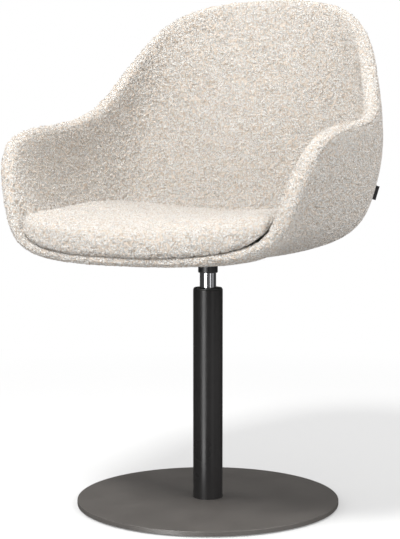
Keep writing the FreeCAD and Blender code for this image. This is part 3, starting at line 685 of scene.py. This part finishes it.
def mathNode(tree, operation, *values):
    return addNode(tree, "ShaderNodeMath", dict(enumerate(values)), operation=operation).outputs["Value"]


def vectorNode(tree, operation, *values):
    node = addNode(tree, "ShaderNodeVectorMath", dict(enumerate(values)), operation=operation)
    return node.outputs["Vector"]


def rangeNode(tree, value, start, end, low, high, **settings):
    # Start to end becomes low to high
    inputs = {"Value": value, "From Min": start, "From Max": end, "To Min": low, "To Max": high}
    return addNode(tree, "ShaderNodeMapRange", inputs, **settings).outputs["Result"]


def bumpNode(tree, height, depth, **more):
    return addNode(tree, "ShaderNodeBump", {"Height": height, "Distance": depth, **more}).outputs["Normal"]


def mixedShader(tree, share, first, second):
    return addNode(tree, "ShaderNodeMixShader", {"Fac": share, 1: first, 2: second}).outputs["Shader"]


def rampNode(tree, source, stops):
    ramp = addNode(tree, "ShaderNodeValToRGB", {"Fac": source})
    while len(ramp.color_ramp.elements) < len(stops):
        ramp.color_ramp.elements.new(0.5)
    for element, (place, color) in zip(ramp.color_ramp.elements, stops):
        element.position = place
        element.color = (*color, 1)
    return ramp.outputs["Color"]


def grey(tone):
    return tone, tone, tone, 1


# Cloudy changes of a coat over the surface
coat = {
    "cloudSize": 14.0,      # clouds per metre
    "tone": 0.07,
    "roughness": 0.04,
}


def grainGroup():
    # Group: fine grain of a coat, as a bumped normal, and clouds, as a change of roughness and tone
    tree = bpy.data.node_groups.new("coatGrain", "ShaderNodeTree")
    sockets = (("INPUT", "Grain Size", "Float"), ("INPUT", "Grain Depth", "Float"),
               ("INPUT", "Roughness", "Float"), ("INPUT", "Color", "Color"),
               ("OUTPUT", "Color", "Color"), ("OUTPUT", "Roughness", "Float"), ("OUTPUT", "Normal", "Vector"))
    for side, name, kind in sockets:
        tree.interface.new_socket(name, in_out=side, socket_type="NodeSocket" + kind)
    given = tree.nodes.new("NodeGroupInput").outputs
    result = tree.nodes.new("NodeGroupOutput")
    place = objectCoordinates(tree)
    grain = noiseNode(tree, place, given["Grain Size"], Detail=2.0, Roughness=0.6).outputs["Fac"]
    cloud = noiseNode(tree, place, coat["cloudSize"], Detail=3.0).outputs["Fac"]
    tone = rangeNode(tree, cloud, 0.3, 0.7, 1 - coat["tone"], 1 + coat["tone"])
    drift = rangeNode(tree, cloud, 0.3, 0.7, -coat["roughness"], coat["roughness"])
    feed(tree, result, {
        "Color": vectorNode(tree, "MULTIPLY", given["Color"], tone),
        "Roughness": mathNode(tree, "ADD", given["Roughness"], drift),
        "Normal": bumpNode(tree, grain, given["Grain Depth"]),
    })
    return tree


coatGrain = grainGroup()


def coatedMaterial(name, color, roughness, metallic=0.0, grainSize=900.0, grainDepth=0.00004, shine=0.5):
    # Paint, plastic or metal with a fine grain; its size per metre and its depth in metres
    material, tree, shader = newMaterial(name)
    inputs = {"Grain Size": grainSize, "Grain Depth": grainDepth,
              "Roughness": roughness, "Color": (*color, 1)}
    grain = addNode(tree, "ShaderNodeGroup", inputs, node_tree=coatGrain).outputs
    feed(tree, shader, {
        "Base Color": grain["Color"],
        "Roughness": grain["Roughness"],
        "Normal": grain["Normal"],
        "Metallic": metallic,
        "Specular IOR Level": shine,
    })
    return material


# The looped cloth's material
wool = {
    # Colours along the loops' height: crown is a painted highlight, valley is painted shade between the
    # loops, side is the cloth's own tone
    "crown": (0.95, 0.93, 0.90),
    "side": (0.90, 0.85, 0.79),
    "valley": (0.54, 0.43, 0.33),
    "stops": (0.08, 0.38, 0.64),     # where the valley's painted shade, the side and the crown's painted highlight lie in the mixed height
    "loopSize": 270.0,               # small loops per metre
    "evenness": 0.8,
    "knob": (0.1, 0.62),             # a small loop's crown ends and its valley begins, in cells
    "loopDepth": 0.005,
    "bendSize": 380.0,
    "bend": 0.0014,
    "curlSize": 700.0,               # turns of yarn per metre
    "curlWidth": 0.16,
    "curlDepth": 0.0007,
    "knobShare": 0.7,                # how much each form adds to the mixed height
    "curlShare": 0.15,
    "pileShare": 0.15,
}


def woolMaterial():
    # Small bent loops beside the mesh's own, with curls of yarn on top; their colour is a painted highlight
    # on the crowns and painted shade between the loops
    material, tree, shader = newMaterial("loopedWool")
    place = objectCoordinates(tree)
    pile = addNode(tree, "ShaderNodeAttribute", attribute_name="pile").outputs["Fac"]
    bend = noiseNode(tree, place, wool["bendSize"], Detail=0.0).outputs["Color"]
    bent = vectorNode(tree, "MULTIPLY_ADD", bend, (wool["bend"],) * 3, place)
    inputs = {"Vector": bent, "Scale": wool["loopSize"], "Randomness": wool["evenness"], "Smoothness": 0.2}
    small = addNode(tree, "ShaderNodeTexVoronoi", inputs, feature="SMOOTH_F1").outputs["Distance"]
    knob = rangeNode(tree, small, *wool["knob"], 1.0, 0.0)
    curl = noiseNode(tree, place, wool["curlSize"], Detail=1.0, Roughness=0.5, Distortion=1.2).outputs["Fac"]
    folded = mathNode(tree, "ABSOLUTE", mathNode(tree, "SUBTRACT", curl, 0.5))
    ridge = rangeNode(tree, folded, 0.0, wool["curlWidth"], 1.0, 0.0)
    # the mesh's pile, the small loops and the curls mix into one height, which sets the painted shade and
    # highlight
    mixed = mathNode(tree, "MULTIPLY", pile, wool["pileShare"])
    mixed = mathNode(tree, "MULTIPLY_ADD", knob, wool["knobShare"], mixed)
    mixed = mathNode(tree, "MULTIPLY_ADD", ridge, wool["curlShare"], mixed)
    colors = wool["valley"], wool["side"], wool["crown"]
    feed(tree, shader, {
        # colour from the mixed height: painted shade in the valleys, painted highlight on the crowns
        "Base Color": rampNode(tree, mixed, tuple(zip(wool["stops"], colors))),
        "Normal": bumpNode(tree, ridge, wool["curlDepth"], Normal=bumpNode(tree, knob, wool["loopDepth"])),
        "Roughness": 0.95,
        "Specular IOR Level": 0.15,
        "Sheen Weight": 0.2,
        "Sheen Roughness": 0.6,
    })
    return material


def foamMaterial():
    # Open cells as fine pits, with painted shade darkening their bottoms
    material, tree, shader = newMaterial("cutFoam")
    inputs = {"Vector": objectCoordinates(tree), "Scale": 900.0}
    cells = addNode(tree, "ShaderNodeTexVoronoi", inputs).outputs["Distance"]
    feed(tree, shader, {
        # darker at the pits' bottoms: painted shade
        "Base Color": rampNode(tree, cells, ((0.0, (0.62, 0.58, 0.42)), (0.6, (0.86, 0.82, 0.66)))),
        "Normal": bumpNode(tree, cells, 0.0004),
        "Roughness": 0.95,
    })
    return material


def ribbonMaterial():
    # Ribs of a plain weave, as one wave along the ribbon, with painted shade darkening the grooves between
    # the ribs
    material, tree, shader = newMaterial("blackRibbon")
    inputs = {"Vector": objectCoordinates(tree), "Scale": 420.0, "Distortion": 0.3}
    rib = addNode(tree, "ShaderNodeTexWave", inputs, bands_direction="Z").outputs["Fac"]
    feed(tree, shader, {
        # darker in the grooves between the ribs: painted shade
        "Base Color": rampNode(tree, rib, ((0.0, (0.006, 0.006, 0.007)), (1.0, (0.022, 0.022, 0.024)))),
        "Normal": bumpNode(tree, rib, 0.0002),
        "Roughness": 0.8,
    })
    return material


def boardMaterial():
    # Birch plywood: stretched grain
    material, tree, shader = newMaterial("birchBoard")
    inputs = {"Vector": objectCoordinates(tree), "Scale": (60.0, 6.0, 300.0)}
    stretched = addNode(tree, "ShaderNodeMapping", inputs).outputs["Vector"]
    grain = noiseNode(tree, stretched, 3.0, Detail=5.0).outputs["Fac"]
    feed(tree, shader, {
        "Base Color": rampNode(tree, grain, ((0.3, (0.48, 0.33, 0.19)), (0.7, (0.70, 0.55, 0.37)))),
        "Roughness": 0.6,
    })
    return material


print("materials")
finishes = {
    "boucle": woolMaterial(),
    "foam": foamMaterial(),
    "tag_ribbon": ribbonMaterial(),
    "board_wood": boardMaterial(),
    "shell_plastic": coatedMaterial("shellPlastic", (0.03, 0.03, 0.03), 0.5, grainSize=700.0),
    "base_coat": coatedMaterial("plateCoat", (0.085, 0.078, 0.072), 0.42, grainSize=1100.0),
    "column_coat": coatedMaterial("columnCoat", (0.02, 0.019, 0.019), 0.3, grainSize=1100.0, shine=0.25),
    "black_coat": coatedMaterial("satinBlack", (0.02, 0.02, 0.021), 0.35),
    "black_plastic": coatedMaterial("blackPlastic", (0.022, 0.022, 0.023), 0.45, grainSize=600.0),
    "rubber": coatedMaterial("rubber", (0.02, 0.02, 0.02), 0.7, grainSize=500.0),
    "chrome": coatedMaterial("hardChrome", (0.72, 0.73, 0.76), 0.09, 1.0, 1500.0, 0.000004),
    "bare_steel": coatedMaterial("bareSteel", (0.42, 0.42, 0.43), 0.35, 1.0, 1500.0, 0.00001),
    "zinc_steel": coatedMaterial("zincSteel", (0.50, 0.51, 0.54), 0.38, 1.0, 900.0, 0.00001),
    "brass": coatedMaterial("brass", (0.60, 0.42, 0.16), 0.35, 1.0, 1200.0, 0.00001),
    "aluminium": coatedMaterial("aluminium", (0.60, 0.60, 0.61), 0.35, 1.0, 1200.0, 0.00001),
}


def putFinish(mesh, slot):
    mesh.materials.clear()
    mesh.materials.append(finishes[slot])


for entry in frame["record"]["subparts"]:
    putFinish(nodes[entry["node"]].data, entry["material_slot"])
for piece, slot in ((outerCover, "boucle"), (innerCover, "boucle"), (seatCushion, "boucle"),
                    (bucketFoam, "foam"), (cushionFoam, "foam"), (blankTag, "tag_ribbon")):
    putFinish(piece.data, slot)


# Camera, from the plate's ellipse and the column's height in the frame of 400 by 539
view = {
    "height": 603.0,
    "distance": 2357.28,
    "focal": 1385.17,       # in pixels of the 400 wide frame
    "width": 400.0,
    "sensor": 36.0,
    "down": 0.084175,       # radians
    "turn": 0.445059,
    "axisPixel": 208.0,     # the column stands at this pixel
    "middlePixel": 200.0,
    "clip": (0.1, 60.0),
}


def makeCamera():
    # Level right and forward axes, turned so that the column stands at its pixel, then tipped down
    turn, down = view["turn"], view["down"]
    right = np.array([math.cos(turn), math.sin(turn), 0])
    back = np.array([math.sin(turn), -math.cos(turn), 0])
    yaw = math.atan((view["axisPixel"] - view["middlePixel"]) / view["focal"])
    across = right * math.cos(yaw) - back * math.sin(yaw)
    ahead = -back * math.cos(yaw) - right * math.sin(yaw)
    forward = ahead * math.cos(down) - up * math.sin(down)
    lift = up * math.cos(down) + ahead * math.sin(down)
    place = (back * view["distance"] + up * view["height"]) * milli
    data = bpy.data.cameras.new("camera")
    data.sensor_fit = "HORIZONTAL"
    data.sensor_width = view["sensor"]
    data.lens = view["sensor"] * view["focal"] / view["width"]
    data.clip_start, data.clip_end = view["clip"]
    camera = bpy.data.objects.new("camera", data)
    matrix = np.eye(4)
    matrix[:3] = np.stack([across, lift, -forward, place], 1)
    camera.matrix_world = Matrix(matrix.tolist())
    bpy.context.scene.collection.objects.link(camera)
    bpy.context.scene.camera = camera


# Studio
studio = {
    "floorHalf": 6.0,
    "floorTone": 0.45,           # the floor that lights the chair
    "floorSeenTone": 0.44,       # the floor that the camera sees, and the light added to it
    "floorGlow": 0.25,
    "floorFade": (0.9, 1.9),     # distance over which the seen floor turns into the backdrop's white
    "skyLight": 1.12,
    # name, place, aim, width, height, watts, colour
    "lamps": (
        ("keyLamp", (-0.3, -2.1, 3.5), (0, 0, 0.5), 0.7, 0.7, 130.0, (1.0, 1.0, 0.99)),
        ("leftLamp", (-2.6, -1.4, 1.6), (0, 0, 0.5), 1.6, 1.6, 18.0, (1.0, 1.0, 1.0)),
        ("rightLamp", (2.7, -0.9, 1.9), (0, 0, 0.6), 1.6, 1.6, 38.0, (1.0, 1.0, 1.0)),
    ),
    "screenRadius": 2.4,
    "screenHeights": (-2.0, 2.2),
    "screenColumns": 24,
    # start and end in degrees from the camera, right positive, and how bright
    "screens": ((-180, -62, 0.06), (-62, -44, 0.35), (-44, -21, 9.0), (-21, -14, 0.45), (-14, 28, 0.12),
                (44, 62, 0.05), (62, 86, 0.35), (86, 180, 0.05)),
}


def makeFloor():
    # Paint with a glow for the camera, fading with distance to white; plain paint for the light's bounces.
    # Metal and coats don't see it, and see the screens instead.
    half = studio["floorHalf"] / milli
    points = np.array([(-half, -half, 0), (half, -half, 0), (half, half, 0), (-half, half, 0)], float)
    floor = meshObject("floor", points, np.array([[0, 1, 2, 3]]))
    floor.visible_glossy = False
    material, tree, shader = newMaterial("paleFloor")
    feed(tree, shader, {"Base Color": grey(studio["floorTone"]), "Roughness": 0.8, "Specular IOR Level": 0.1})
    paint = addNode(tree, "ShaderNodeBsdfDiffuse", {"Color": grey(studio["floorSeenTone"])})
    glow = addNode(tree, "ShaderNodeEmission", {"Color": grey(1), "Strength": studio["floorGlow"]})
    white = addNode(tree, "ShaderNodeEmission", {"Color": grey(1), "Strength": 1.0})
    lit = addNode(tree, "ShaderNodeAddShader", {0: paint.outputs["BSDF"], 1: glow.outputs["Emission"]})
    away = addNode(tree, "ShaderNodeVectorMath", {0: objectCoordinates(tree)}, operation="LENGTH")
    fade = rangeNode(tree, away.outputs["Value"], *studio["floorFade"], 0.0, 1.0,
                     interpolation_type="SMOOTHSTEP")
    seen = mixedShader(tree, fade, lit.outputs["Shader"], white.outputs["Emission"])
    rays = addNode(tree, "ShaderNodeLightPath").outputs
    surface = mixedShader(tree, rays["Is Camera Ray"], shader.outputs["BSDF"], seen)
    feed(tree, tree.nodes["Material Output"], {"Surface": surface})
    floor.data.materials.append(material)


def makeScreen(index, start, end, glow):
    # Upright curved screen round the chair that only metal and coats see; it reaches below the floor, so that
    # the streaks run the whole height of the column
    columns = studio["screenColumns"]
    angle = np.radians(np.linspace(start, end, columns + 1)) - math.pi / 2 + view["turn"]
    ring = np.stack([np.cos(angle), np.sin(angle)], -1) * studio["screenRadius"] / milli
    edges = [np.concatenate([ring, np.full((len(ring), 1), height / milli)], 1)
             for height in studio["screenHeights"]]
    i = np.arange(columns)
    faces = np.stack([i, i + 1, i + columns + 2, i + columns + 1], -1)
    screen = meshObject("screen%d" % index, np.concatenate(edges), faces)
    screen.visible_camera = False
    screen.visible_diffuse = False
    screen.visible_shadow = False
    screen.visible_transmission = False
    material, tree, shader = newMaterial("screen")
    feed(tree, shader, {
        "Base Color": grey(0),
        "Specular IOR Level": 0,
        "Emission Color": grey(1),
        "Emission Strength": glow,
    })
    screen.data.materials.append(material)


def makeSky():
    # White for the camera and for reflections, and the plain light level for everything else
    world = bpy.data.worlds.new("studioSky")
    bpy.context.scene.world = world
    world.use_nodes = True
    tree = world.node_tree
    tree.nodes.clear()
    rays = addNode(tree, "ShaderNodeLightPath").outputs
    seen = mathNode(tree, "MAXIMUM", rays["Is Camera Ray"], rays["Is Glossy Ray"])
    seen = mathNode(tree, "MAXIMUM", seen, rays["Is Transmission Ray"])
    light, backdrop = (addNode(tree, "ShaderNodeBackground", {"Color": grey(1), "Strength": strength})
                       for strength in (studio["skyLight"], 1.0))
    surface = mixedShader(tree, seen, light.outputs["Background"], backdrop.outputs["Background"])
    addNode(tree, "ShaderNodeOutputWorld", {"Surface": surface})


def makeLamp(name, place, aim, width, height, energy, color):
    # Area lamp that faces its aim
    data = bpy.data.lights.new(name, "AREA")
    data.shape = "RECTANGLE"
    data.size = width
    data.size_y = height
    data.energy = energy
    data.color = color
    lamp = bpy.data.objects.new(name, data)
    lamp.location = place
    lamp.rotation_euler = (Vector(aim) - Vector(place)).to_track_quat("-Z", "Y").to_euler()
    bpy.context.scene.collection.objects.link(lamp)


print("camera and studio")
makeCamera()
makeFloor()
for index, screen in enumerate(studio["screens"]):
    makeScreen(index + 1, *screen)
makeSky()
for lamp in studio["lamps"]:
    makeLamp(*lamp)
bpy.context.scene.view_settings.view_transform = "Standard"

bpy.context.view_layer.update()
